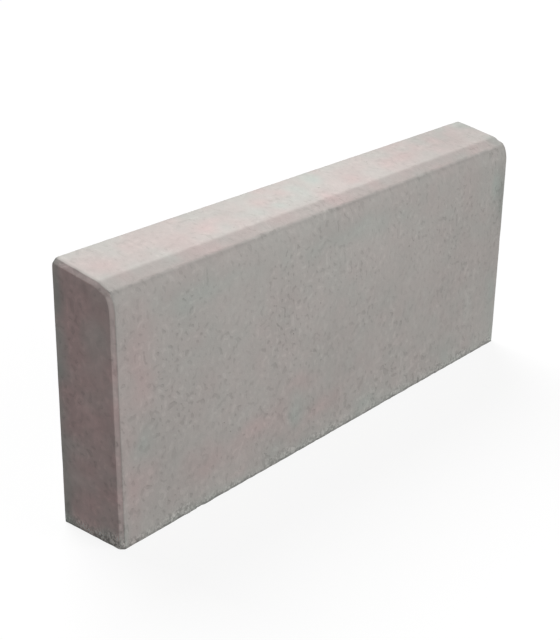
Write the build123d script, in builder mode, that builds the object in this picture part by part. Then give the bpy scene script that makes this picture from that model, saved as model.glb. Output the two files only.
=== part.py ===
"""A concrete kerb stone, cast in one piece.

The stone stands on its bed with its length along X. Its face looks along -Y, its back along +Y and
its bed lies on Z = 0. The origin is the middle of the bed.

Going up the face, the section leans back a little, rolls over a rounded nose, crosses a splay and
then rises along a sloping top to the back edge. The stone is cast face down, so both ends are
drafted: they spread a little from the face to the back. Both are bevelled along the face, nose,
splay and top, and stay square along the bed and the back.
"""

import os
from math import atan2, cos, radians, sin, tan

from build123d import *

# Overall size of the stone, with its length taken along the back
kerb_length = 500.0
kerb_height = 210.0
kerb_depth = 60.0

# Face: how far it leans back over the height of the stone
face_batter = 3.0

# Nose: the rounded stretch between the face and the splay
nose_height = 16.0
nose_depth = 5.0

# Splay: the flat strip between the nose and the top
splay_width = 11.0
splay_fall = 4.5

# Top: how far it drops from the back edge to the splay
top_fall = 6.5

# Draft of both ends: how far each one leans in over the depth of the stone, from back to face
end_draft = 2.0

# Bevel of both ends: its depth, square to the end, and its angle to the stone's length in degrees
end_bevel = 3.0
bevel_angle = 45.0

# How far the blank is left over, past what the bevels need, where it is trimmed to size
trim_overrun = 1.0

# Heights of the section's corners above the bed
top_arris_height = kerb_height - top_fall
splay_foot_height = top_arris_height - splay_fall
nose_foot_height = splay_foot_height - nose_height

# Distances of the section's corners from the middle of the depth
back = kerb_depth / 2
face_at_bed = -kerb_depth / 2
face_lean = face_batter / kerb_height
face_at_nose = face_at_bed + face_lean * nose_foot_height
splay_foot = face_at_nose + nose_depth
top_arris = splay_foot + splay_width
top_slope = top_fall / (back - top_arris)

# The bevels narrow the section on every side, so the blank starts out wider at the bed and the back
bevel_inset = end_bevel * tan(radians(bevel_angle))
blank_reach = bevel_inset + trim_overrun
blank_half_length = kerb_length / 2 + trim_overrun

# Planes of both ends, which follow the draft and look outwards
draft_angle = atan2(end_draft, kerb_depth)
end_planes = [
    Plane(
        origin=(side * kerb_length / 2, back, 0),
        z_dir=(side * cos(draft_angle), -sin(draft_angle), 0),
    )
    for side in (-1, 1)
]


def draw_blank():
    """Draws the section's outline, with its face and top run on to the blank's wider bed and back."""
    face_line = Line(
        (face_at_bed - face_lean * blank_reach, -blank_reach),
        (face_at_nose, nose_foot_height),
    )
    nose_arc = TangentArc(
        face_line @ 1,
        (splay_foot, splay_foot_height),
        tangent=face_line % 1,
    )
    Polyline(
        nose_arc @ 1,
        (top_arris, top_arris_height),
        (back + blank_reach, kerb_height + top_slope * blank_reach),
        (back + blank_reach, -blank_reach),
        face_line @ 0,
    )


os.makedirs("parts", exist_ok=True)

# Core: the blank, slimmer by the bevels on every side and cut to the length of the stone
with BuildPart() as core:
    with BuildSketch(Plane.YZ):
        with BuildLine():
            draw_blank()
        make_face()
        offset(amount=-bevel_inset, kind=Kind.INTERSECTION, mode=Mode.REPLACE)
    extrude(amount=blank_half_length, both=True)
    for end_plane in end_planes:
        split(bisect_by=end_plane, keep=Keep.BOTTOM)

with BuildPart() as kerb_stone:
    # Blank, cut where the bevels begin
    with BuildSketch(Plane.YZ):
        with BuildLine():
            draw_blank()
        make_face()
    extrude(amount=blank_half_length, both=True)
    for end_plane in end_planes:
        split(bisect_by=end_plane.offset(-end_bevel), keep=Keep.BOTTOM)

    # Bevels, from the cut ends of the blank to the ends of the core
    for end in (0, -1):
        cut_end = kerb_stone.faces().sort_by(Axis.X)[end]
        core_end = core.faces().sort_by(Axis.X)[end]
        loft([cut_end, core_end], ruled=True)

    # Bed and back, trimmed to size
    split(bisect_by=Plane.XY, keep=Keep.TOP)
    split(bisect_by=Plane.ZX.offset(back), keep=Keep.BOTTOM)

kerb_stone.part.label = "kerb_stone"
export_step(kerb_stone.part, "parts/kerb_stone.step")
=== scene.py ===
"""Looks of a cast concrete kerb stone: its worn arrises, uneven skin and stained concrete, on a pale floor.

Lengths are in metres. The stone stands on its bed at Z = 0, with its length along X and its face
towards -Y. The section is drawn in the Y-Z plane, clockwise from the foot of the face.
"""

import itertools
import math
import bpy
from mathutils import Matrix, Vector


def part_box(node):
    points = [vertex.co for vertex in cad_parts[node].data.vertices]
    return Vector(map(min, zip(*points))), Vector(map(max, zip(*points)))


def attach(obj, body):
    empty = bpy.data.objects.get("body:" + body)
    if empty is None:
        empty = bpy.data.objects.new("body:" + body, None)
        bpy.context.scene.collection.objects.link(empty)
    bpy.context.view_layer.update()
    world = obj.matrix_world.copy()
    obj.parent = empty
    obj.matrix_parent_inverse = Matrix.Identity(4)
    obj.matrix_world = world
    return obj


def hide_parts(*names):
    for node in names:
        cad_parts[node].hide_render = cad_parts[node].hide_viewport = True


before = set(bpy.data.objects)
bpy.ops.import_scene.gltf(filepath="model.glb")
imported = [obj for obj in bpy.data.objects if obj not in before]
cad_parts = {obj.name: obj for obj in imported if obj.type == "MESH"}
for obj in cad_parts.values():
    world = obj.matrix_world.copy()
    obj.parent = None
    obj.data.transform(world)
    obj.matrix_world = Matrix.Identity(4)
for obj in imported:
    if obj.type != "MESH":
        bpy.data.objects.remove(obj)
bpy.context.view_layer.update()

from types import SimpleNamespace

import bpy
import numpy as np
from mathutils import Quaternion, Vector

STONE_LOW, STONE_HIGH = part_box("kerb_stone")

MM = 0.001

# Section of the stone, as cast
KERB_LENGTH = STONE_HIGH.x - STONE_LOW.x
KERB_HEIGHT = STONE_HIGH.z - STONE_LOW.z
KERB_DEPTH = STONE_HIGH.y - STONE_LOW.y
FACE_BATTER = 3.0 * MM
NOSE_HEIGHT = 16.0 * MM
NOSE_DEPTH = 5.0 * MM
SPLAY_WIDTH = 11.0 * MM
SPLAY_FALL = 4.5 * MM
TOP_FALL = 6.5 * MM
END_DRAFT = 2.0 * MM
END_BEVEL = 3.0 * MM

# How far the casting rounds off each arris, measured along the faces from the sharp corner
SPLAY_EASE = 1.8 * MM
TOP_EASE = 2.0 * MM
BACK_EASE = 0.5 * MM
BED_EASE = 0.6 * MM
BEVEL_EASE = 0.6 * MM

# How far one step along a bevel of 45 degrees goes along the stone, and how far across it
BEVEL_LEAN = math.sqrt(0.5)

# Steps of the grid: across each stretch of the section, round each arris, and along the stone
FACE_STEPS = 92
NOSE_STEPS = 12
SPLAY_STEPS = 8
TOP_STEPS = 24
ARRIS_STEPS = 8
BEVEL_STEPS = 4
LENGTH_STEPS = 216

# Relief of the cast skin: depths are inward, so the stone never outgrows its mould. Below BED_LEVEL the skin
# counts as bed, which has no waves.
BROAD_WAVE = 90.0 * MM
BROAD_DEPTH = 0.16 * MM
FINE_WAVE = 11.0 * MM
FINE_DEPTH = 0.06 * MM
WEAR_WAVE = 12.0 * MM
WEAR_DEPTH = 0.35 * MM
WEAR_REACH = 1.8 * MM
RAGGED_WAVE = 4.0 * MM
RAGGED_DEPTH = 0.45 * MM
BED_LEVEL = BED_EASE / 4

# Shade lines: a slight groove sunk in the mesh with painted shade along it, as a soft band under the splay,
# and as a line along the inner arris of each end bevel with a pale one beside it. Place and width of that
# line are given for the face, then for above the nose.
SEAM_DEPTH = 0.12 * MM
SHADE_LINE_WAVE = 9.0 * MM
SHADE_LINE_STRENGTH = 0.6
SHADE_LINE_CHANGE = 0.4
UNDER_SPLAY_SHADE_LINE = 0.42
UNDER_SPLAY_DROP = 2.0 * MM
UNDER_SPLAY_WIDTH = 1.4 * MM
BEVEL_SHADE_LINE_PLACE = (-0.25 * MM, 0.35 * MM)
BEVEL_SHADE_LINE_WIDTH = (0.7 * MM, 1.25 * MM)
PALE_LINE = 0.3
PALE_LINE_PLACE = 1.1 * MM
PALE_LINE_WIDTH = 0.5 * MM

# Chips: the wear from which an arris chips, and the balls that knock the chips off. A ball is felt as far as
# CHIP_REACH times its radius, and sinks no vertex by more than CHIP_LIMIT times its depth.
CHIP_COUNT = 16
CHIP_WEAR = 0.55
CHIP_RADIUS = (3.0 * MM, 8.0 * MM)
CHIP_DEPTH = (0.15 * MM, 0.4 * MM)
CHIP_REACH = 1.3
CHIP_LIMIT = 2.0
CHIP_WAVE = 2.5 * MM
CHIP_UNEVENNESS = 0.12

# Rubbed corners at the back of the top: the way that each cut faces (out, back and up), how deep and soft it
# is, and what soil adds to its tone and tint
CORNER_WAY = (2, 1, 2)
CORNER_CUT = 2.7 * MM
CORNER_SOFTNESS = 0.5 * MM
CORNER_TONE = -0.45
CORNER_TINT = -0.8

# Random values: a seed for the chips' places and one for each noise, and how many values a noise's lattice
# holds each way
CHIP_PLACE_SEED = 41
BROAD_SEED = 42
FINE_SEED = 43
WEAR_SEED = 44
RAGGED_SEED = 45
CHIP_SEED = 48
SHADE_LINE_SEED = 52
CLOUD_SEED = 62
MOTTLE_SEED = 63
FINE_CLOUD_SEED = 64
SHADE_SEED = 65
STAIN_SEEDS = (72, 73, 74)
LATTICE_SIZE = 64

# How much each arris wears: the sharper it is, the more it loses
FOOT_WEAR = 1.0
SPLAY_WEAR = 0.25
TOP_WEAR = 0.08
BACK_WEAR = 0.5
BEVEL_WEAR = 0.6

# Stains and patches of darker and paler tone on each surface, in mm: place and half size along its two ways,
# then tint and tone. Tints run from green (below 0) to pink (above 0), and tones from dark (below 0) to pale
# (above 0).
# On face and nose, along X and Z
FACE_STAINS = np.array(
    [
        [-248, 4, 5, 9, -0.8, -0.04],
        [-243, 90, 8, 60, 0.4, 0.00],
        [-236, 36, 6, 34, 0.4, 0.00],
        [-232, 148, 14, 20, 0.0, -0.04],
        [-224, 138, 12, 34, 0.8, 0.00],
        [-224, 50, 14, 16, 0.6, 0.00],
        [-222, 82, 9, 12, -0.5, 0.00],
        [-205, 95, 50, 110, 0.0, -0.05],
        [-160, 174, 50, 9, -0.5, 0.02],
        [-158, 36, 26, 12, 0.7, -0.01],
        [-120, 14, 16, 9, 0.4, 0.02],
        [-102, 42, 30, 12, 0.7, 0.02],
        [-82, 12, 14, 8, -0.5, 0.02],
        [-60, 26, 30, 12, 0.3, 0.03],
        [-52, 62, 16, 10, 0.6, 0.00],
        [-52, 36, 11, 9, -0.7, 0.00],
        [-20, 30, 18, 10, 0.6, 0.02],
        [20, 174, 60, 9, -0.4, 0.00],
        [20, 160, 70, 26, 0.0, 0.05],
        [42, 14, 16, 8, -0.4, 0.00],
        [162, 18, 14, 10, -0.5, 0.00],
        [205, 110, 80, 110, 0.0, -0.05],
        [226, 110, 14, 50, 0.0, -0.05],
        [230, 160, 9, 22, -0.6, 0.00],
        [232, 60, 8, 25, -0.5, 0.00],
        [242, 150, 8, 34, -0.4, -0.22],
        [242, 20, 8, 24, -0.5, -0.03],
    ]
)
# On top and splay, along X and Y
TOP_STAINS = np.array(
    [
        [-228, 8, 12, 14, 0.4, 0.00],
        [-226, 2, 20, 30, 0.0, -0.07],
        [-183, -18, 10, 8, -0.6, 0.00],
        [-150, -17, 35, 8, 0.3, 0.03],
        [-130, 4, 40, 20, 0.0, 0.04],
        [-127, 8, 18, 10, 0.6, 0.00],
        [-110, 22, 16, 6, -0.5, 0.00],
        [-82, 0, 26, 9, -0.4, 0.00],
        [-57, 12, 14, 8, 0.4, 0.00],
        [-50, 0, 9, 6, -0.6, 0.00],
        [-7, 8, 20, 12, -0.5, 0.01],
        [0, 0, 90, 40, 0.0, 0.04],
        [0, -17, 35, 8, 0.3, 0.00],
        [20, 18, 22, 12, -0.7, 0.00],
        [43, 2, 22, 8, 0.5, 0.00],
        [102, 3, 18, 12, 0.4, 0.00],
        [123, 8, 26, 10, 0.7, 0.00],
        [180, -18, 12, 8, -0.4, 0.00],
        # The tones of the rows from here on darken the top towards its right end
        [190, 24, 50, 8, -0.3, -0.05],
        [200, 8, 60, 25, 0.3, -0.13],
        [205, -18, 10, 8, 0.5, 0.00],
        [238, -12, 14, 12, -0.4, -0.10],
        [240, 22, 16, 14, -0.6, -0.10],
    ]
)
# On the left end, along Y and Z
LEFT_END_STAINS = np.array(
    [
        [-14, 7, 12, 6, -0.7, 0.00],
        [-13, 166, 12, 22, -0.6, 0.04],
        [-6, 85, 12, 18, 0.3, 0.10],
        [-4, 28, 14, 14, 0.1, 0.10],
        [2, 18, 10, 6, -0.4, 0.00],
        [10, 120, 14, 40, 0.3, 0.02],
        [15, 140, 16, 24, 0.4, 0.00],
        [18, 62, 12, 16, -0.5, 0.00],
        [21, 55, 9, 16, 0.0, -0.12],
        [26, 20, 9, 22, -0.7, -0.06],
        [26, 178, 8, 18, -0.9, -0.12],
        [27, 5, 10, 9, -0.4, -0.45],
        [30, 110, 8, 120, -1.5, -0.03],
    ]
)
STAIN_WAVE = 18.0 * MM
STAIN_WOBBLE = 7.0 * MM

# Tints of the skin without its stains
TOP_TINT = 0.12
SPLAY_TINT = 0.12
# The left end's tint is partly its own pink and partly painted warm shade, as that end is in shade
LEFT_END_TINT_AND_PAINTED_SHADE = 1.25
RIGHT_END_TINT = 0.5
CLOUD_WAVE = 45.0 * MM
CLOUD_TINT = 0.10
FINE_CLOUD_WAVE = 14.0 * MM
FINE_CLOUD_TINT = 0.14
TOP_CLOUDS = 3.0
END_CLOUDS = 3.5
FOOT_TINT = -0.40
LEFT_FOOT_TINT = -0.80
FOOT_TINT_REACH = 8.0 * MM
TINT_RANGE = (-0.8, 1.6)

# Tones of the skin without its stains; those of splay, left bevel and foot are painted light and shade. The
# left bevel has one along the top and one along the face.
# The splay's tone is painted shade
SPLAY_PAINTED_SHADE = -0.15
LEFT_END_TONE = 0.06
# Painted shade on the left bevel along the top, and painted light along the face
LEFT_BEVEL_PAINTED_LIGHT_AND_SHADE = (-0.18, 0.31)
BACK_ARRIS_TONE = -0.10
MOTTLE_WAVE = 7.0 * MM
END_MOTTLE = 0.09
SHADE_WAVE = 20.0 * MM
END_SHADE = 0.07
# Painted light along the foot, strongest on the left end, against the shade the floor casts there
FOOT_PAINTED_LIGHT = 0.06
FOOT_PAINTED_LIGHT_REACH = 14.0 * MM
LEFT_FOOT_PAINTED_LIGHT = 0.62
LEFT_FOOT_PAINTED_LIGHT_REACH = 12.0 * MM
# Painted shade on the foot's rounded edge, which faces down
FOOT_EDGE_PAINTED_SHADE = -0.45
FOOT_EDGE_PAINTED_SHADE_REACH = 1.6 * MM

# How thickly dents and foot crumbs lie, against 1 on the face. On the left end crumbs thicken from the back
# to the face, and on the face they lie more thickly about a place near the left end.
TOP_DENTS = 0.6
END_DENTS = 1.2
BACK_DENTS = 0.6
LEFT_END_CRUMBS = (1.0, 2.3)
RIGHT_END_CRUMBS = 0.7
BACK_CRUMBS = 0.5
MORE_CRUMBS = 0.3
MORE_CRUMBS_PLACE = -212.0 * MM
MORE_CRUMBS_REACH = 30.0 * MM

# How far a normal has to turn towards a side before the skin starts to count as that side, and fully does
SIDE_TURN = (0.3, 0.95)
UPPER_TURN = (0.6, 0.95)
BEVEL_TURN = 0.2

# Colours of the concrete, and the tints that stand for the first and the last of them
GREEN_GREY = (0.484, 0.577, 0.531, 1)
WARM_GREY = (0.569, 0.537, 0.510, 1)
PINK_GREY = (0.654, 0.497, 0.485, 1)
COLOUR_TINTS = (-1.5, 1.5)

# Noises in the concrete: features to a metre, detail and roughness
GRAIN_NOISE = (220, 0.5, 0.5)
PATCH_NOISE = (24, 2, 0.5)
CRUMB_NOISE = (420, 2, 0.5)
FOOT_EDGE_NOISE = (40, 3, 0.5)
RUB_NOISE = (90, 3, 0.5)
TINT_NOISE = (60, 3, 0.5)
BROAD_NOISE = (16, 2, 0.5)
MIDDLE_NOISE = (70, 4, 0.6)
FINE_NOISE = (320, 2, 0.6)

# Cells in the concrete, to a metre
SAND_CELLS = 1000
PORE_CELLS = 150

# What counts of a noise, a random number or a distance, from nothing to all of it
NOISE_RANGE = (0.3, 0.7)
PATCH_RANGE = (0.40, 0.62)
DENT_RANGE = (0.57, 0.72)
FLECK_RANGE = (0.43, 0.28)
CRUMB_RANGE = (0.38, 0.62)
FOOT_FADE = (10 * MM, 2 * MM)
RUB_RANGE = (0.35, 0.65)
PORE_DRAW = (0.9, 1.0)
PORE_EDGE = (0.0, 0.06)
SAND_EDGE = (0.6, 0.0)
FOOT_RANGE = (0, 2)
SHADE_LINE_RANGE = (-1, 1)
UNIT_RANGE = (0, 1)

# What that turns into: shares, lengths in metres, cell radii and tints
PATCH_SHARE = (0.4, 1.0)
RUB_SHARE = (0.2, 1.0)
FOOT_WOBBLE = (-4 * MM, 4 * MM)
PORE_RADIUS = (0.0, 0.16)
TINT_CHANGE = (-0.08, 0.08)

# Factors on the shade of the concrete
BROAD_SHADE = (0.965, 1.035)
MIDDLE_SHADE = (0.965, 1.035)
FINE_SHADE = (0.985, 1.015)
SAND_SHADE = (0.985, 1.015)
DENT_SHADE = (1.0, 0.88)
FLECK_SHADE = (1.0, 1.10)
PORE_SHADE = (1.0, 0.85)
HOLLOW_SHADE = (1.0, 0.60)
CRUMB_SHADE = (1.0, 1.46)
RUBBED_SHADE = (1.0, 1.08)
# Painted shade along the shade lines, and the pale line beside the bevel ones
LINE_PAINTED_SHADE = (1.36, 0.64)

# Relief of the concrete too fine for the mesh, in millimetres
FINE_RELIEF = (0.0, 0.055)
SAND_RELIEF = (0.0, 0.04)
DENT_RELIEF = (0.0, -0.26)
FLECK_RELIEF = (0.0, 0.10)
PORE_RELIEF = (0.0, -0.35)
HOLLOW_RELIEF = (0.0, -0.32)

# Gloss of the concrete: its roughness where it is as cast and where it is rubbed, and its specular level
CONCRETE_ROUGHNESS = (0.92, 0.82)
CONCRETE_SPECULAR = 0.3

# Floor: half its width, how far it lies under the bed, what it throws back, and what the camera sees of it
FLOOR_HALF = 8.0
FLOOR_DROP = 0.2 * MM
FLOOR_BOUNCED = (0.30, 0.30, 0.30, 1)
FLOOR_SHOWN = (0.12, 0.12, 0.12, 1)
FLOOR_GLOW = 0.88
WHITE = (1, 1, 1, 1)

# Light: how strong each is, where it comes from, and how wide it is in degrees
SURROUNDINGS_STRENGTH = 0.150
BACK_LIGHT_STRENGTH = 0.985
BACK_LIGHT_FROM = (0.25, 0.60, 0.76)
FACE_LIGHT_STRENGTH = 0.468
FACE_LIGHT_FROM = (0.40, -0.80, 0.45)
LIGHT_SPREAD = 40.0

# Camera: place, direction as azimuth and elevation, roll, lens, and how near and far it sees
CAMERA_PLACE = (-0.7736, -0.6155, 0.5314)
CAMERA_AZIMUTH = -49.88
CAMERA_ELEVATION = 23.98
CAMERA_ROLL = 1.40
CAMERA_LENS = 72.71
SENSOR_WIDTH = 36.0
NEAREST_SEEN = 0.01
FARTHEST_SEEN = 100.0


# Section of the stone


def unit(vector):
    """The vector divided by its length."""
    vector = np.asarray(vector, float)
    return vector / np.linalg.norm(vector)


def inward(direction):
    """The normal to the right of a direction of travel, which is inward on a clockwise outline."""
    return np.array([direction[1], -direction[0]])


TOP_ARRIS_HEIGHT = KERB_HEIGHT - TOP_FALL
SPLAY_FOOT_HEIGHT = TOP_ARRIS_HEIGHT - SPLAY_FALL
NOSE_FOOT_HEIGHT = SPLAY_FOOT_HEIGHT - NOSE_HEIGHT
FACE_FOOT = np.array([-KERB_DEPTH / 2, 0.0])
NOSE_FOOT = FACE_FOOT + np.array([FACE_BATTER * NOSE_FOOT_HEIGHT / KERB_HEIGHT, NOSE_FOOT_HEIGHT])
SPLAY_FOOT = NOSE_FOOT + np.array([NOSE_DEPTH, NOSE_HEIGHT])
TOP_ARRIS = SPLAY_FOOT + np.array([SPLAY_WIDTH, SPLAY_FALL])
BACK_TOP = np.array([KERB_DEPTH / 2, KERB_HEIGHT])
BACK_FOOT = np.array([KERB_DEPTH / 2, 0.0])

FACE_WAY = unit(NOSE_FOOT - FACE_FOOT)
SPLAY_WAY = unit(TOP_ARRIS - SPLAY_FOOT)
TOP_WAY = unit(BACK_TOP - TOP_ARRIS)
BACK_WAY = np.array([0.0, -1.0])
BED_WAY = np.array([-1.0, 0.0])

# The nose is an arc that leaves the face without a break and ends at the foot of the splay
NOSE_CHORD = SPLAY_FOOT - NOSE_FOOT
NOSE_RADIUS = NOSE_CHORD @ NOSE_CHORD / (2 * NOSE_CHORD @ inward(FACE_WAY))
NOSE_CENTRE = NOSE_FOOT + NOSE_RADIUS * inward(FACE_WAY)


def section_corners(inset, bed_inset):
    """Corners of the section with its sides moved in, one row for each inset.

    Face, nose, splay and top move in by inset, back and bed by bed_inset. A corner is where two
    moved sides meet. The nose keeps its centre and loses inset from its radius, and its end is
    where that smaller circle crosses the moved splay, from the quadratic for the distance along it.
    """
    inset = np.asarray(inset, float)[:, None]
    bed_inset = np.asarray(bed_inset, float)[:, None]
    foot = FACE_FOOT + inset * inward(FACE_WAY)
    face_foot = foot + FACE_WAY * (bed_inset - foot[:, 1:]) / FACE_WAY[1]
    nose_foot = NOSE_FOOT + inset * inward(FACE_WAY)
    splay_start = SPLAY_FOOT + inset * inward(SPLAY_WAY) - NOSE_CENTRE
    half = (splay_start @ SPLAY_WAY)[:, None]
    rest = (splay_start**2).sum(1, keepdims=True) - (NOSE_RADIUS - inset) ** 2
    along = -half - np.sqrt(half**2 - rest)
    splay_foot = NOSE_CENTRE + splay_start + along * SPLAY_WAY
    mitre = inward(SPLAY_WAY) + inward(TOP_WAY)
    top_arris = TOP_ARRIS + inset * mitre / (1 + inward(SPLAY_WAY) @ inward(TOP_WAY))
    back = KERB_DEPTH / 2 - bed_inset
    back_top = top_arris + TOP_WAY * (back - top_arris[:, :1]) / TOP_WAY[0]
    back_foot = np.concatenate([back, bed_inset], axis=1)
    return face_foot, nose_foot, splay_foot, top_arris, back_top, back_foot


def straight(start, end, steps):
    """Points from start up to, but not including, end, evenly spaced, for every row."""
    share = np.arange(steps)[None, :, None] / steps
    return start[:, None] + share * (end - start)[:, None]


def eased(corner, way_in, way_out, ease, first=0, last=ARRIS_STEPS):
    """An arris rounded by a parabola that touches both faces at ease from the corner.

    With t from 0 to 1, the point is the corner less ease (1 - t)^2 along the way in, plus ease t^2
    along the way out.
    """
    t = np.arange(first, last)[None, :, None] / ARRIS_STEPS
    before = (1 - t) ** 2 * np.asarray(way_in)
    after = t**2 * np.asarray(way_out)
    return corner[:, None] + ease * (after - before)


def nose_arc(nose_foot, splay_foot):
    """The nose from its foot to where the splay's arris begins, and its direction at the splay.

    Points are the centre plus the radius times (cos a, sin a), with a falling evenly to the end.
    """
    spoke = splay_foot - NOSE_CENTRE
    radius = np.linalg.norm(spoke, axis=1)
    end_way = np.stack([spoke[:, 1], -spoke[:, 0]], axis=1) / radius[:, None]
    foot_spoke = nose_foot - NOSE_CENTRE
    start_angle = np.arctan2(foot_spoke[:, 1], foot_spoke[:, 0]) % (2 * math.pi)
    end_angle = np.arctan2(spoke[:, 1], spoke[:, 0]) % (2 * math.pi) + SPLAY_EASE / radius
    share = np.arange(NOSE_STEPS) / NOSE_STEPS
    angle = start_angle[:, None] + (end_angle - start_angle)[:, None] * share
    points = NOSE_CENTRE + radius[:, None, None] * np.stack([np.cos(angle), np.sin(angle)], axis=2)
    return points, end_way[:, None]


def section_outlines(inset, bed_inset):
    """Closed outline of the section for each row, clockwise from the middle of the foot arris."""
    face_foot, nose_foot, splay_foot, top_arris, back_top, back_foot = section_corners(inset, bed_inset)
    nose, nose_way = nose_arc(nose_foot, splay_foot)
    half = ARRIS_STEPS // 2
    back_steps = FACE_STEPS + NOSE_STEPS
    bed_steps = SPLAY_STEPS + TOP_STEPS + ARRIS_STEPS
    stretches = [
        eased(face_foot, BED_WAY, FACE_WAY, BED_EASE, first=half),
        straight(face_foot + BED_EASE * FACE_WAY, nose_foot, FACE_STEPS),
        nose,
        eased(splay_foot, nose_way, SPLAY_WAY, SPLAY_EASE),
        straight(splay_foot + SPLAY_EASE * SPLAY_WAY, top_arris - TOP_EASE * SPLAY_WAY, SPLAY_STEPS),
        eased(top_arris, SPLAY_WAY, TOP_WAY, TOP_EASE),
        straight(top_arris + TOP_EASE * TOP_WAY, back_top - BACK_EASE * TOP_WAY, TOP_STEPS),
        eased(back_top, TOP_WAY, BACK_WAY, BACK_EASE),
        straight(back_top + BACK_EASE * BACK_WAY, back_foot - BED_EASE * BACK_WAY, back_steps),
        eased(back_foot, BACK_WAY, BED_WAY, BED_EASE),
        straight(back_foot + BED_EASE * BED_WAY, face_foot - BED_EASE * BED_WAY, bed_steps),
        eased(face_foot, BED_WAY, FACE_WAY, BED_EASE, last=half),
    ]
    return np.concatenate(stretches, axis=1)


def length_rows():
    """Distance from the left end, inset of the bevelled sides and inset of bed and back, for each row.

    From the left end face the rows round the outer arris of the bevel, cross the bevel, round its
    inner arris and run to the middle; the right half mirrors them. The end arris of bed and back is
    the same parabola, read as its inset at a distance from the end: (sqrt(ease) - sqrt(distance))^2.
    """
    t = np.linspace(0, 1, ARRIS_STEPS, endpoint=False)
    slant = BEVEL_LEAN * BEVEL_EASE
    outer = np.stack([t**2 * slant, END_BEVEL + (1 - t) ** 2 * BEVEL_EASE - t**2 * slant], axis=1)
    share = np.linspace(0, 1, BEVEL_STEPS, endpoint=False)
    run = slant + share * (END_BEVEL - 2 * slant)
    bevel = np.stack([run, END_BEVEL - run], axis=1)
    inner = np.stack([END_BEVEL - (1 - t) ** 2 * slant + t**2 * BEVEL_EASE, (1 - t) ** 2 * slant], axis=1)
    body = np.linspace(END_BEVEL + BEVEL_EASE, KERB_LENGTH / 2, LENGTH_STEPS // 2 + 1)
    body = np.stack([body, np.zeros_like(body)], axis=1)
    half = np.concatenate([outer, bevel, inner, body])
    mirrored = half[-2::-1] * np.array([-1, 1]) + np.array([KERB_LENGTH, 0])
    distance, inset = np.concatenate([half, mirrored]).T
    from_end = np.minimum(distance, KERB_LENGTH - distance).clip(0, BED_EASE)
    bed_inset = (math.sqrt(BED_EASE) - np.sqrt(from_end)) ** 2
    return distance, inset, bed_inset


# Mesh of the stone


def end_patch(loop, across, up):
    """An end face as a Coons patch over its closed outline.

    The outline splits into face, top, back and bed sides. A point is the blend across the two
    upright sides, plus the blend between the two level sides, less the blend of the four corners.
    """
    left = loop[: up + 1]
    over = loop[up : up + across + 1]
    right = loop[up + across : 2 * up + across + 1][::-1]
    under = np.concatenate([loop[2 * up + across :], loop[:1]])[::-1]
    u = np.linspace(0, 1, across + 1)[None, :, None]
    v = np.linspace(0, 1, up + 1)[:, None, None]
    sides = (1 - u) * left[:, None] + u * right[:, None]
    levels = (1 - v) * under[None] + v * over[None]
    low_corners = (1 - u) * left[0] + u * right[0]
    high_corners = (1 - u) * left[-1] + u * right[-1]
    return sides + levels - (1 - v) * low_corners - v * high_corners


def grid_faces(index):
    """Quads between neighbouring rows and columns of a table of vertex numbers."""
    quads = np.stack([index[:-1, :-1], index[:-1, 1:], index[1:, 1:], index[1:, :-1]], axis=2)
    return quads.reshape(-1, 4)


def stone_grid():
    """Vertices and outward quads of the closed stone: outlines carried along X, and a patch on each end."""
    distance, inset, bed_inset = length_rows()
    outline = section_outlines(inset, bed_inset)
    rows, around = outline.shape[:2]
    x = np.broadcast_to((distance - KERB_LENGTH / 2)[:, None, None], (rows, around, 1))
    skin = np.concatenate([x, outline], axis=2)
    skin_index = np.arange(rows * around).reshape(rows, around)
    skin_index = np.concatenate([skin_index, skin_index[:, :1]], axis=1)
    vertices = [skin.reshape(-1, 3)]
    faces = [grid_faces(skin_index)[:, ::-1]]
    count = rows * around
    up = ARRIS_STEPS + FACE_STEPS + NOSE_STEPS
    across = 2 * ARRIS_STEPS + SPLAY_STEPS + TOP_STEPS
    for row, turned in ((0, -1), (rows - 1, 1)):
        patch = end_patch(skin[row], across, up)
        index = np.zeros((up + 1, across + 1), int)
        loop = skin_index[row]
        index[:, 0] = loop[: up + 1]
        index[-1, :] = loop[up : up + across + 1]
        index[:, -1] = loop[up + across : 2 * up + across + 1][::-1]
        index[0, :] = loop[2 * up + across :][::-1]
        inner = patch[1:-1, 1:-1].reshape(-1, 3)
        index[1:-1, 1:-1] = count + np.arange(len(inner)).reshape(up - 1, across - 1)
        count += len(inner)
        vertices.append(inner)
        faces.append(grid_faces(index)[:, ::turned])
    return np.concatenate(vertices), np.concatenate(faces)


def drafted(points):
    """The square-ended stone with its ends leaning in from back to face.

    X shrinks in step with the distance from the back, by the draft at the face of each end.
    """
    from_back = (KERB_DEPTH / 2 - points[:, 1]) / KERB_DEPTH
    moved = points.copy()
    moved[:, 0] *= 1 - from_back * END_DRAFT / (KERB_LENGTH / 2)
    return moved


def vertex_normals(vertices, faces):
    """Outward unit normals: the sum of the normals of the quads round each vertex, from their diagonals."""
    a, b, c, d = (vertices[faces[:, k]] for k in range(4))
    quad = np.cross(c - a, d - b)
    total = np.zeros_like(vertices)
    for k in range(4):
        np.add.at(total, faces[:, k], quad)
    return total / np.linalg.norm(total, axis=1, keepdims=True)


# Relief and wear


def smooth_noise(points, wave, seed):
    """Noise from -1 to 1: random values on a cubic lattice of spacing wave, blended by smoothstep."""
    table = np.random.default_rng(seed).uniform(-1, 1, (LATTICE_SIZE,) * 3)
    scaled = points / wave
    cell = np.floor(scaled).astype(int)
    weight = scaled - cell
    weight = weight * weight * (3 - 2 * weight)
    total = np.zeros(len(points))
    for corner in itertools.product((0, 1), repeat=3):
        near = np.prod(np.where(corner, weight, 1 - weight), axis=1)
        place = (cell + corner) % LATTICE_SIZE
        total += near * table[place[:, 0], place[:, 1], place[:, 2]]
    return total


def noise_share(points, wave, seed):
    """The same noise from 0 to 1: half of it, plus a half."""
    return 0.5 + 0.5 * smooth_noise(points, wave, seed)


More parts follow.
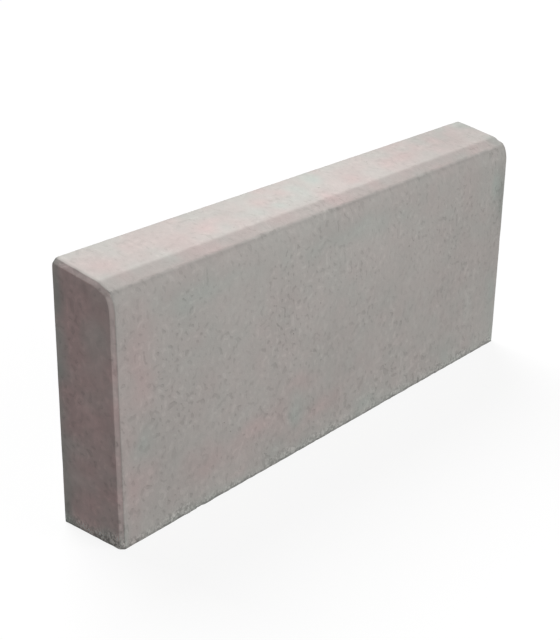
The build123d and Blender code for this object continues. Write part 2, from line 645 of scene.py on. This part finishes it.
def between(ends, share):
    """The value at a share of the way between two ends: the first, plus the share of their difference."""
    return ends[0] + share * (ends[1] - ends[0])


def soft_step(low, high, value):
    """Smoothstep: 0 below low, 1 above high, and 3 s^2 - 2 s^3 for the share s between them."""
    share = ((value - low) / (high - low)).clip(0, 1)
    return share * share * (3 - 2 * share)


def bell(gap, reach):
    """1 at no gap, falling off as e to the minus (gap over reach) squared."""
    return np.exp(-((gap / reach) ** 2))


def skin_gaps(points):
    """How far each point is from the nearer end, from the bevelled sides, and from back or bed.

    A flat side's gap runs along its inward normal, the nose's gap is its radius less the distance to
    its centre, and of several sides the nearest one counts.
    """
    across = points[:, 1:]
    from_end = KERB_LENGTH / 2 - np.abs(points[:, 0])
    face_gap = (across - FACE_FOOT) @ inward(FACE_WAY)
    nose_gap = NOSE_RADIUS - np.linalg.norm(across - NOSE_CENTRE, axis=1)
    on_nose = (across[:, 0] < NOSE_CENTRE[0]) & (across[:, 1] > NOSE_FOOT[1])
    nose_gap = np.where(on_nose, nose_gap, face_gap)
    splay_gap = (across - SPLAY_FOOT) @ inward(SPLAY_WAY)
    top_gap = (across - TOP_ARRIS) @ inward(TOP_WAY)
    bevelled_gap = np.minimum.reduce([face_gap, nose_gap, splay_gap, top_gap])
    square_gap = np.minimum(KERB_DEPTH / 2 - across[:, 0], across[:, 1])
    return from_end, bevelled_gap, square_gap


def arris_wear(points):
    """Share of wear, from 0 on a flat face to 1 on the sharpest arris: the highest bell over all arrises.

    The arrises are the long corners of the section, the two edges of each end bevel, and the end
    edges of bed and back.
    """
    from_end, bevelled_gap, square_gap = skin_gaps(points)
    corners = np.array([FACE_FOOT, SPLAY_FOOT, TOP_ARRIS, BACK_TOP, BACK_FOOT])
    corner_wear = np.array([FOOT_WEAR, SPLAY_WEAR, TOP_WEAR, BACK_WEAR, FOOT_WEAR])
    corner_gap = np.linalg.norm(points[:, None, 1:] - corners[None], axis=2)
    long_wear = (corner_wear * bell(corner_gap, WEAR_REACH)).max(axis=1)
    outer_edge = BEVEL_WEAR * bell(np.hypot(from_end, bevelled_gap - END_BEVEL), WEAR_REACH)
    inner_edge = BEVEL_WEAR * bell(np.hypot(from_end - END_BEVEL, bevelled_gap), WEAR_REACH)
    square_edge = BACK_WEAR * bell(np.hypot(from_end, square_gap), WEAR_REACH)
    return np.maximum.reduce([long_wear, outer_edge, inner_edge, square_edge])


def groove_and_shade_lines(points):
    """Share of a slight sunk groove and the painted shade along it: under the splay, and along each end
    bevel.

    Both are bells over the distance to the line, and noise makes them come and go. The line along the
    inner arris of a bevel widens and moves in above the nose, and a pale line runs beside it, which
    counts as less than 0. Where the two meet, the stronger one holds.
    """
    from_end, bevelled_gap, _ = skin_gaps(points)
    from_splay_foot = np.linalg.norm(points[:, 1:] - SPLAY_FOOT, axis=1)
    under_splay = UNDER_SPLAY_SHADE_LINE * bell(from_splay_foot - UNDER_SPLAY_DROP, UNDER_SPLAY_WIDTH)
    under_splay = under_splay * (points[:, 2] < SPLAY_FOOT_HEIGHT)
    above_nose = soft_step(NOSE_FOOT_HEIGHT, SPLAY_FOOT_HEIGHT, points[:, 2])
    from_arris = from_end - END_BEVEL
    from_line = from_arris - between(BEVEL_SHADE_LINE_PLACE, above_nose)
    along_bevel = bell(from_line, between(BEVEL_SHADE_LINE_WIDTH, above_nose))
    along_bevel -= PALE_LINE * bell(from_arris - PALE_LINE_PLACE, PALE_LINE_WIDTH)
    off_the_end = bevelled_gap < END_BEVEL / 2
    along_bevel = along_bevel * off_the_end
    strength = SHADE_LINE_STRENGTH + SHADE_LINE_CHANGE * smooth_noise(points, SHADE_LINE_WAVE, SHADE_LINE_SEED)
    return strength * np.where(under_splay > np.abs(along_bevel), under_splay, along_bevel)


def rub_corners(vertices):
    """Rubs off both back corners of the top by a slanting plane, and gives the depth lost at each vertex.

    A vertex at distance d past the plane moves back by soft * ln(1 + e^(d / soft)), which is d well
    outside the plane, 0 well inside it, and soft in between.
    """
    lost = np.zeros(len(vertices))
    for side in (-1, 1):
        out = unit(np.array(CORNER_WAY) * [side, 1, 1])
        corner = np.array([side * KERB_LENGTH / 2, KERB_DEPTH / 2, KERB_HEIGHT])
        past = (vertices - corner) @ out + CORNER_CUT
        back = CORNER_SOFTNESS * np.logaddexp(0, past / CORNER_SOFTNESS)
        vertices = vertices - back[:, None] * out
        lost += back
    return vertices, lost


def chip(vertices, normals, wear, random):
    """Scoops knocked off the arrises by a ball, as shell-shaped chips.

    Each ball sinks into an arris by its depth. A vertex inside it moves back along the arris's
    outward normal n to the ball's far side, by q.n + sqrt((q.n)^2 + r^2 - q.q), where q is the
    vertex from the ball's centre and r its radius, which noise makes uneven.
    """
    edge_vertices = np.flatnonzero(wear > CHIP_WEAR)
    for place in random.choice(edge_vertices, CHIP_COUNT, replace=False):
        size = random.uniform(0, 1) ** 2
        radius = between(CHIP_RADIUS, size)
        depth = between(CHIP_DEPTH, size)
        out = normals[place]
        centre = vertices[place] + out * (radius - depth)
        close = np.flatnonzero(np.linalg.norm(vertices - centre, axis=1) < CHIP_REACH * radius)
        rough = radius * (1 + CHIP_UNEVENNESS * smooth_noise(vertices[close], CHIP_WAVE, CHIP_SEED))
        from_centre = vertices[close] - centre
        along = from_centre @ out
        room = rough**2 - (from_centre**2).sum(1)
        sunk = np.where(room > 0, along + np.sqrt(along**2 + room.clip(0)), 0)
        vertices[close] -= sunk.clip(0, CHIP_LIMIT * depth)[:, None] * out
    return vertices


def facings(points, normals):
    """How far each point counts as face, top, back, left end, right end, splay and left bevel, from 0 to 1.

    Each is a smoothstep of the normal's share that way. The splay is what faces up in front of the
    top's arris, and the left bevel is a bell about the normals that lean halfway to the left end.
    """
    top = soft_step(*UPPER_TURN, normals[:, 2])
    left = soft_step(*SIDE_TURN, -normals[:, 0])
    right = soft_step(*SIDE_TURN, normals[:, 0])
    return SimpleNamespace(
        face=soft_step(*SIDE_TURN, -normals[:, 1]),
        top=top,
        back=soft_step(*UPPER_TURN, normals[:, 1]),
        left=left,
        right=right,
        end=left + right,
        splay=top * soft_step(TOP_ARRIS[0] + TOP_EASE, TOP_ARRIS[0] - TOP_EASE, points[:, 1]),
        left_bevel=bell(-normals[:, 0] - BEVEL_LEAN, BEVEL_TURN),
    )


def stains(places, table, held_to):
    """Tint and tone that a table of stains adds.

    Each stain adds its own times e to the minus squared distance from its place, in half sizes.
    """
    gap = (places[:, None] / MM - table[:, 0:2]) / table[:, 2:4]
    share = held_to[:, None] * np.exp(-(gap**2).sum(2))
    return share @ table[:, 4:6]


def skin_tint(points, facing):
    """Tint of the skin without its stains.

    A sum of each side's tint, clouds of noise that are stronger on top and ends, and a bell of green
    along the foot.
    """
    # the left end's tint is partly painted warm shade
    tint = LEFT_END_TINT_AND_PAINTED_SHADE * facing.left + RIGHT_END_TINT * facing.right
    tint += TOP_TINT * facing.top + SPLAY_TINT * facing.splay
    clouds = CLOUD_TINT * smooth_noise(points, CLOUD_WAVE, CLOUD_SEED)
    clouds += FINE_CLOUD_TINT * smooth_noise(points, FINE_CLOUD_WAVE, FINE_CLOUD_SEED)
    tint += clouds * (1 + (TOP_CLOUDS - 1) * facing.top + (END_CLOUDS - 1) * facing.end)
    foot = bell(points[:, 2], FOOT_TINT_REACH)
    return tint + (FOOT_TINT + LEFT_FOOT_TINT * facing.left) * foot


def skin_tone(points, facing):
    """Tone of the skin without its stains.

    A sum of painted shade on the splay, the tone of the left end, painted shade and light on the left bevel,
    a bell of dark along the back arris, noise that mottles the ends, bells of painted light along the foot,
    and a bell of painted shade on the foot's edge.
    """
    height = points[:, 2]
    from_back_arris = np.linalg.norm(points[:, 1:] - BACK_TOP, axis=1)
    # painted shade on the splay
    tone = SPLAY_PAINTED_SHADE * facing.splay + LEFT_END_TONE * facing.left
    # painted shade on the left bevel along the top, painted light along the face
    tone += between(LEFT_BEVEL_PAINTED_LIGHT_AND_SHADE, facing.face) * facing.left_bevel
    tone += BACK_ARRIS_TONE * bell(from_back_arris, WEAR_REACH)
    mottle = END_MOTTLE * smooth_noise(points, MOTTLE_WAVE, MOTTLE_SEED)
    mottle += END_SHADE * smooth_noise(points, SHADE_WAVE, SHADE_SEED)
    tone += mottle * facing.end
    # painted light along the foot, against the floor's contact shade
    tone += LEFT_FOOT_PAINTED_LIGHT * facing.left * bell(height, LEFT_FOOT_PAINTED_LIGHT_REACH)
    tone += FOOT_PAINTED_LIGHT * bell(height, FOOT_PAINTED_LIGHT_REACH)
    # painted shade on the foot's edge
    return tone + FOOT_EDGE_PAINTED_SHADE * bell(height, FOOT_EDGE_PAINTED_SHADE_REACH)


def skin_marks(points, normals, corner_lost):
    """What the concrete reads at every vertex: its tint, its tone, and how thickly dents and crumbs lie.

    Tint and tone are sums of the plain skin, the stains, whose places noise wobbles, and the soil on
    the rubbed corners. Dents and crumbs are sums over the sides. On the left end crumbs thicken
    evenly from the back to the face, and on the face a bell along X adds some.
    """
    facing = facings(points, normals)
    wobble = np.stack([smooth_noise(points, STAIN_WAVE, seed) for seed in STAIN_SEEDS], axis=1)
    moved = points + STAIN_WOBBLE * wobble
    stained = stains(moved[:, [0, 2]], FACE_STAINS, facing.face)
    stained += stains(moved[:, [0, 1]], TOP_STAINS, facing.top)
    stained += stains(moved[:, [1, 2]], LEFT_END_STAINS, facing.left)
    soiled = soft_step(0, CORNER_SOFTNESS, corner_lost)
    tint = skin_tint(points, facing) + stained[:, 0] + CORNER_TINT * soiled
    tone = skin_tone(points, facing) + stained[:, 1] + CORNER_TONE * soiled
    dents = 1 + (TOP_DENTS - 1) * facing.top + (END_DENTS - 1) * facing.end + (BACK_DENTS - 1) * facing.back
    from_back = 0.5 - points[:, 1] / KERB_DEPTH
    crumbs = 1 + (between(LEFT_END_CRUMBS, from_back) - 1) * facing.left
    crumbs += (RIGHT_END_CRUMBS - 1) * facing.right + (BACK_CRUMBS - 1) * facing.back
    crumbs += MORE_CRUMBS * facing.face * bell(points[:, 0] - MORE_CRUMBS_PLACE, MORE_CRUMBS_REACH)
    return {"tint": tint.clip(*TINT_RANGE), "tone": tone, "dents": dents, "crumbs": crumbs}


def kerb_stone():
    """The cast stone as one closed mesh, with wear and unevenness sunk into its plain skin.

    The depth sunk is a sum: broad and fine waves over the whole skin but the bed, wear along the
    arrises, the slight grooves of the shade lines, and ragged loss along the foot. Rubbed corners and chips
    come last.
    """
    random = np.random.default_rng(CHIP_PLACE_SEED)
    square, faces = stone_grid()
    wear = arris_wear(square)
    groove_and_shade = groove_and_shade_lines(square)
    plain = drafted(square)
    normals = vertex_normals(plain, faces)
    sunk = BROAD_DEPTH * noise_share(plain, BROAD_WAVE, BROAD_SEED)
    sunk += FINE_DEPTH * noise_share(plain, FINE_WAVE, FINE_SEED)
    sunk += WEAR_DEPTH * wear * noise_share(plain, WEAR_WAVE, WEAR_SEED) ** 2
    # The shade lines sink only a slight groove here; their dark colour is painted shade in the material
    sunk += SEAM_DEPTH * groove_and_shade.clip(0)
    sunk = np.where(plain[:, 2] < BED_LEVEL, 0, sunk)
    foot = bell(plain[:, 2], WEAR_REACH) * wear
    sunk += RAGGED_DEPTH * foot * noise_share(plain, RAGGED_WAVE, RAGGED_SEED) ** 2
    vertices, corner_lost = rub_corners(plain - sunk[:, None] * normals)
    vertices = chip(vertices, normals, wear, random)
    vertices[:, 2] = vertices[:, 2].clip(0)
    skin = skin_marks(plain, normals, corner_lost)
    skin |= {"wear": wear, "groove_and_shade": groove_and_shade}

    mesh = bpy.data.meshes.new("cast_kerb_stone")
    mesh.from_pydata(vertices, [], faces)
    mesh.shade_smooth()
    for name, values in skin.items():
        layer = mesh.attributes.new(name, "FLOAT", "POINT")
        layer.data.foreach_set("value", values.astype(np.float32))
    stone = bpy.data.objects.new("cast_kerb_stone", mesh)
    bpy.context.scene.collection.objects.link(stone)
    return stone


# Materials


def add_node(tree, kind, settings=None, **inputs):
    """Adds a node, sets its options and fills its inputs with values or sockets.

    An input goes by its name, or by its place as in0, in1 and so on.
    """
    node = tree.nodes.new(kind)
    for option, value in (settings or {}).items():
        setattr(node, option, value)
    for name, value in inputs.items():
        key = int(name[2:]) if name.startswith("in") and name[2:].isdigit() else name.replace("_", " ")
        socket = node.inputs[key]
        if isinstance(value, bpy.types.NodeSocket):
            tree.links.new(value, socket)
        else:
            socket.default_value = value
    return node


def combine(tree, operation, first, second):
    """A sum, product or other calculation on two values."""
    return add_node(tree, "ShaderNodeMath", {"operation": operation}, in0=first, in1=second).outputs[0]


def product(tree, *values):
    """All the values multiplied together."""
    total = values[0]
    for value in values[1:]:
        total = combine(tree, "MULTIPLY", total, value)
    return total


def total_of(tree, *values):
    """All the values added together."""
    total = values[0]
    for value in values[1:]:
        total = combine(tree, "ADD", total, value)
    return total


def spread(tree, value, old_range, new_range, way="LINEAR"):
    """Maps a value from one range to another and holds it at the ends."""
    node = add_node(
        tree,
        "ShaderNodeMapRange",
        {"clamp": True, "interpolation_type": way},
        Value=value,
        From_Min=old_range[0],
        From_Max=old_range[1],
        To_Min=new_range[0],
        To_Max=new_range[1],
    )
    return node.outputs[0]


def noise(tree, place, per_metre, detail, roughness):
    """Noise with that many features to a metre, from 0 to 1."""
    node = add_node(
        tree, "ShaderNodeTexNoise", Vector=place, Scale=per_metre, Detail=detail, Roughness=roughness
    )
    return node.outputs[0]


def cells(tree, place, per_metre):
    """Rounded cells with that many to a metre: the distance to the nearest centre, and each cell's draw."""
    node = add_node(tree, "ShaderNodeTexVoronoi", Vector=place, Scale=per_metre)
    draw = add_node(tree, "ShaderNodeSeparateColor", Color=node.outputs["Color"]).outputs[0]
    return node.outputs["Distance"], draw


def skin_value(tree, name):
    """A value that the mesh holds at every vertex."""
    return add_node(tree, "ShaderNodeAttribute", {"attribute_name": name}).outputs["Fac"]


def tinted(tree, tint):
    """Colour of the concrete, from green-grey through warm grey, which is a tint of 0, to pink-grey."""
    node = add_node(tree, "ShaderNodeValToRGB", Fac=spread(tree, tint, COLOUR_TINTS, UNIT_RANGE))
    stops = node.color_ramp.elements
    stops[0].color = GREEN_GREY
    stops[1].color = PINK_GREY
    stops.new(0.5).color = WARM_GREY
    return node.outputs[0]


def speckles(tree, place):
    """Dents and pale flecks: the high and the low end of one noise, times the patches where they lie."""
    grain = noise(tree, place, *GRAIN_NOISE)
    patches = spread(tree, noise(tree, place, *PATCH_NOISE), PATCH_RANGE, PATCH_SHARE)
    patches = product(tree, patches, skin_value(tree, "dents"))
    dent = product(tree, spread(tree, grain, DENT_RANGE, UNIT_RANGE, "SMOOTHSTEP"), patches)
    fleck = product(tree, spread(tree, grain, FLECK_RANGE, UNIT_RANGE, "SMOOTHSTEP"), patches)
    return dent, fleck


def rough_foot(tree, place):
    """Dark hollows and pale crumbs in a rough open strip along the foot, under an uneven edge.

    The strip fades out with the height, which is divided by how thickly crumbs lie and wobbled by
    noise. Hollows are the strip times a second noise, and crumbs the strip times the rest of it.
    """
    height = add_node(tree, "ShaderNodeSeparateXYZ", Vector=place).outputs[2]
    thickness = skin_value(tree, "crumbs")
    wobble = spread(tree, noise(tree, place, *FOOT_EDGE_NOISE), NOISE_RANGE, FOOT_WOBBLE)
    edge = total_of(tree, combine(tree, "DIVIDE", height, thickness), wobble)
    strip = product(tree, spread(tree, edge, FOOT_FADE, UNIT_RANGE, "SMOOTHSTEP"), thickness)
    crumb = spread(tree, noise(tree, place, *CRUMB_NOISE), CRUMB_RANGE, UNIT_RANGE)
    return product(tree, strip, crumb), product(tree, strip, combine(tree, "SUBTRACT", 1.0, crumb))


def pores(tree, place):
    """Round pores in the few cells that draw a high number: the pore's radius less the distance."""
    gap, draw = cells(tree, place, PORE_CELLS)
    radius = spread(tree, draw, PORE_DRAW, PORE_RADIUS)
    return spread(tree, combine(tree, "SUBTRACT", radius, gap), PORE_EDGE, UNIT_RANGE)


def concrete():
    """Grey concrete: pink and green stains, dents and flecks, sand, a few pores, a rough foot, worn arrises,
    painted shade and light.

    The colour is the tint's colour times a shade, which is a product with one factor for each of
    these. The bump is a sum of their heights.
    """
    material = bpy.data.materials.new("concrete")
    material.use_nodes = True
    tree = material.node_tree
    tree.nodes.clear()
    place = add_node(tree, "ShaderNodeTexCoord").outputs["Object"]
    dent, fleck = speckles(tree, place)
    hollow, crumb = rough_foot(tree, place)
    pore = pores(tree, place)
    sand_gap, sand_draw = cells(tree, place, SAND_CELLS)
    fine = noise(tree, place, *FINE_NOISE)
    rub = spread(tree, noise(tree, place, *RUB_NOISE), RUB_RANGE, RUB_SHARE)
    rubbed = product(tree, skin_value(tree, "wear"), rub)

    tint_change = spread(tree, noise(tree, place, *TINT_NOISE), NOISE_RANGE, TINT_CHANGE)
    tint = total_of(tree, skin_value(tree, "tint"), tint_change)
    shade = product(
        tree,
        # the tone holds stains and mottles, and painted light and shade on the splay, the left bevel and
        # along the foot
        combine(tree, "ADD", skin_value(tree, "tone"), 1.0),
        spread(tree, noise(tree, place, *BROAD_NOISE), NOISE_RANGE, BROAD_SHADE),
        spread(tree, noise(tree, place, *MIDDLE_NOISE), NOISE_RANGE, MIDDLE_SHADE),
        spread(tree, fine, NOISE_RANGE, FINE_SHADE),
        spread(tree, sand_draw, UNIT_RANGE, SAND_SHADE),
        spread(tree, dent, UNIT_RANGE, DENT_SHADE),
        spread(tree, fleck, UNIT_RANGE, FLECK_SHADE),
        spread(tree, pore, UNIT_RANGE, PORE_SHADE),
        spread(tree, hollow, FOOT_RANGE, HOLLOW_SHADE),
        spread(tree, crumb, FOOT_RANGE, CRUMB_SHADE),
        spread(tree, rubbed, UNIT_RANGE, RUBBED_SHADE),
        # painted shade along the lines under the splay and by the end bevels, and the pale line beside the
        # bevel ones
        spread(tree, skin_value(tree, "groove_and_shade"), SHADE_LINE_RANGE, LINE_PAINTED_SHADE),
    )
    grey = add_node(tree, "ShaderNodeCombineColor", in0=shade, in1=shade, in2=shade).outputs[0]
    colour = add_node(
        tree,
        "ShaderNodeMix",
        {"data_type": "RGBA", "blend_type": "MULTIPLY"},
        in0=1.0,
        in6=tinted(tree, tint),
        in7=grey,
    ).outputs[2]

    relief = total_of(
        tree,
        spread(tree, fine, NOISE_RANGE, FINE_RELIEF),
        spread(tree, sand_gap, SAND_EDGE, SAND_RELIEF),
        spread(tree, dent, UNIT_RANGE, DENT_RELIEF),
        spread(tree, fleck, UNIT_RANGE, FLECK_RELIEF),
        spread(tree, pore, UNIT_RANGE, PORE_RELIEF),
        spread(tree, hollow, UNIT_RANGE, HOLLOW_RELIEF),
    )
    bump = add_node(tree, "ShaderNodeBump", Strength=1.0, Distance=MM, Height=relief)

    shader = add_node(
        tree,
        "ShaderNodeBsdfPrincipled",
        Base_Color=colour,
        Roughness=spread(tree, rubbed, UNIT_RANGE, CONCRETE_ROUGHNESS),
        Specular_IOR_Level=CONCRETE_SPECULAR,
        Normal=bump.outputs[0],
    )
    add_node(tree, "ShaderNodeOutputMaterial", Surface=shader.outputs[0])
    return material


def seen_ray(tree):
    """1 for the rays that show a background: from the camera, off gloss, or through glass."""
    path = add_node(tree, "ShaderNodeLightPath").outputs
    seen = combine(tree, "MAXIMUM", path["Is Camera Ray"], path["Is Glossy Ray"])
    return combine(tree, "MAXIMUM", seen, path["Is Transmission Ray"])


def pale_floor():
    """Plain pale floor that the camera sees as white, with the stone's shadow left on it."""
    material = bpy.data.materials.new("pale_floor")
    material.use_nodes = True
    tree = material.node_tree
    tree.nodes.clear()
    bounced = add_node(tree, "ShaderNodeBsdfDiffuse", Color=FLOOR_BOUNCED)
    shown = add_node(tree, "ShaderNodeBsdfDiffuse", Color=FLOOR_SHOWN)
    glow = add_node(tree, "ShaderNodeEmission", Color=WHITE, Strength=FLOOR_GLOW)
    white = add_node(tree, "ShaderNodeAddShader", in0=shown.outputs[0], in1=glow.outputs[0])
    mixed = add_node(
        tree, "ShaderNodeMixShader", in0=seen_ray(tree), in1=bounced.outputs[0], in2=white.outputs[0]
    )
    add_node(tree, "ShaderNodeOutputMaterial", Surface=mixed.outputs[0])
    return material


# Stage


def floor():
    """A wide level sheet just under the bed."""
    low, high = -FLOOR_HALF, FLOOR_HALF
    corners = [(x, y, -FLOOR_DROP) for x, y in ((low, low), (high, low), (high, high), (low, high))]
    mesh = bpy.data.meshes.new("floor")
    mesh.from_pydata(corners, [], [(0, 1, 2, 3)])
    mesh.materials.append(pale_floor())
    sheet = bpy.data.objects.new("floor", mesh)
    bpy.context.scene.collection.objects.link(sheet)


def soft_light(name, source_way, strength, spread_degrees):
    """A wide distant light that comes from source_way; at strength 1 it lights a facing white to 1."""
    lamp = bpy.data.lights.new(name, "SUN")
    lamp.energy = strength * math.pi
    lamp.angle = math.radians(spread_degrees)
    light = bpy.data.objects.new(name, lamp)
    light.rotation_mode = "QUATERNION"
    light.rotation_quaternion = Vector(source_way).to_track_quat("Z", "Y")
    bpy.context.scene.collection.objects.link(light)


def surroundings(strength):
    """Even light from all round, which the camera sees as white."""
    world = bpy.data.worlds.new("surroundings")
    bpy.context.scene.world = world
    world.use_nodes = True
    tree = world.node_tree
    tree.nodes.clear()
    level = spread(tree, seen_ray(tree), UNIT_RANGE, (strength, 1.0))
    sky = add_node(tree, "ShaderNodeBackground", Color=WHITE, Strength=level)
    add_node(tree, "ShaderNodeOutputWorld", Surface=sky.outputs[0])


def camera():
    """The camera that shows the stone from its left end and face, a little from above."""
    azimuth = math.radians(CAMERA_AZIMUTH)
    elevation = math.radians(CAMERA_ELEVATION)
    level = math.cos(elevation)
    back = Vector((math.sin(azimuth) * level, -math.cos(azimuth) * level, math.sin(elevation)))
    data = bpy.data.cameras.new("camera")
    data.lens = CAMERA_LENS
    data.sensor_width = SENSOR_WIDTH
    data.clip_start = NEAREST_SEEN
    data.clip_end = FARTHEST_SEEN
    eye = bpy.data.objects.new("camera", data)
    eye.location = CAMERA_PLACE
    eye.rotation_mode = "QUATERNION"
    roll = Quaternion((0, 0, 1), math.radians(CAMERA_ROLL))
    eye.rotation_quaternion = (-back).to_track_quat("-Z", "Y") @ roll
    bpy.context.scene.collection.objects.link(eye)
    bpy.context.scene.camera = eye


stone = kerb_stone()
stone.data.materials.append(concrete())
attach(stone, "root")
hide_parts("kerb_stone")

floor()
surroundings(SURROUNDINGS_STRENGTH)
soft_light("back_light", BACK_LIGHT_FROM, BACK_LIGHT_STRENGTH, LIGHT_SPREAD)
soft_light("face_light", FACE_LIGHT_FROM, FACE_LIGHT_STRENGTH, LIGHT_SPREAD)
camera()
bpy.context.scene.view_settings.view_transform = "Standard"
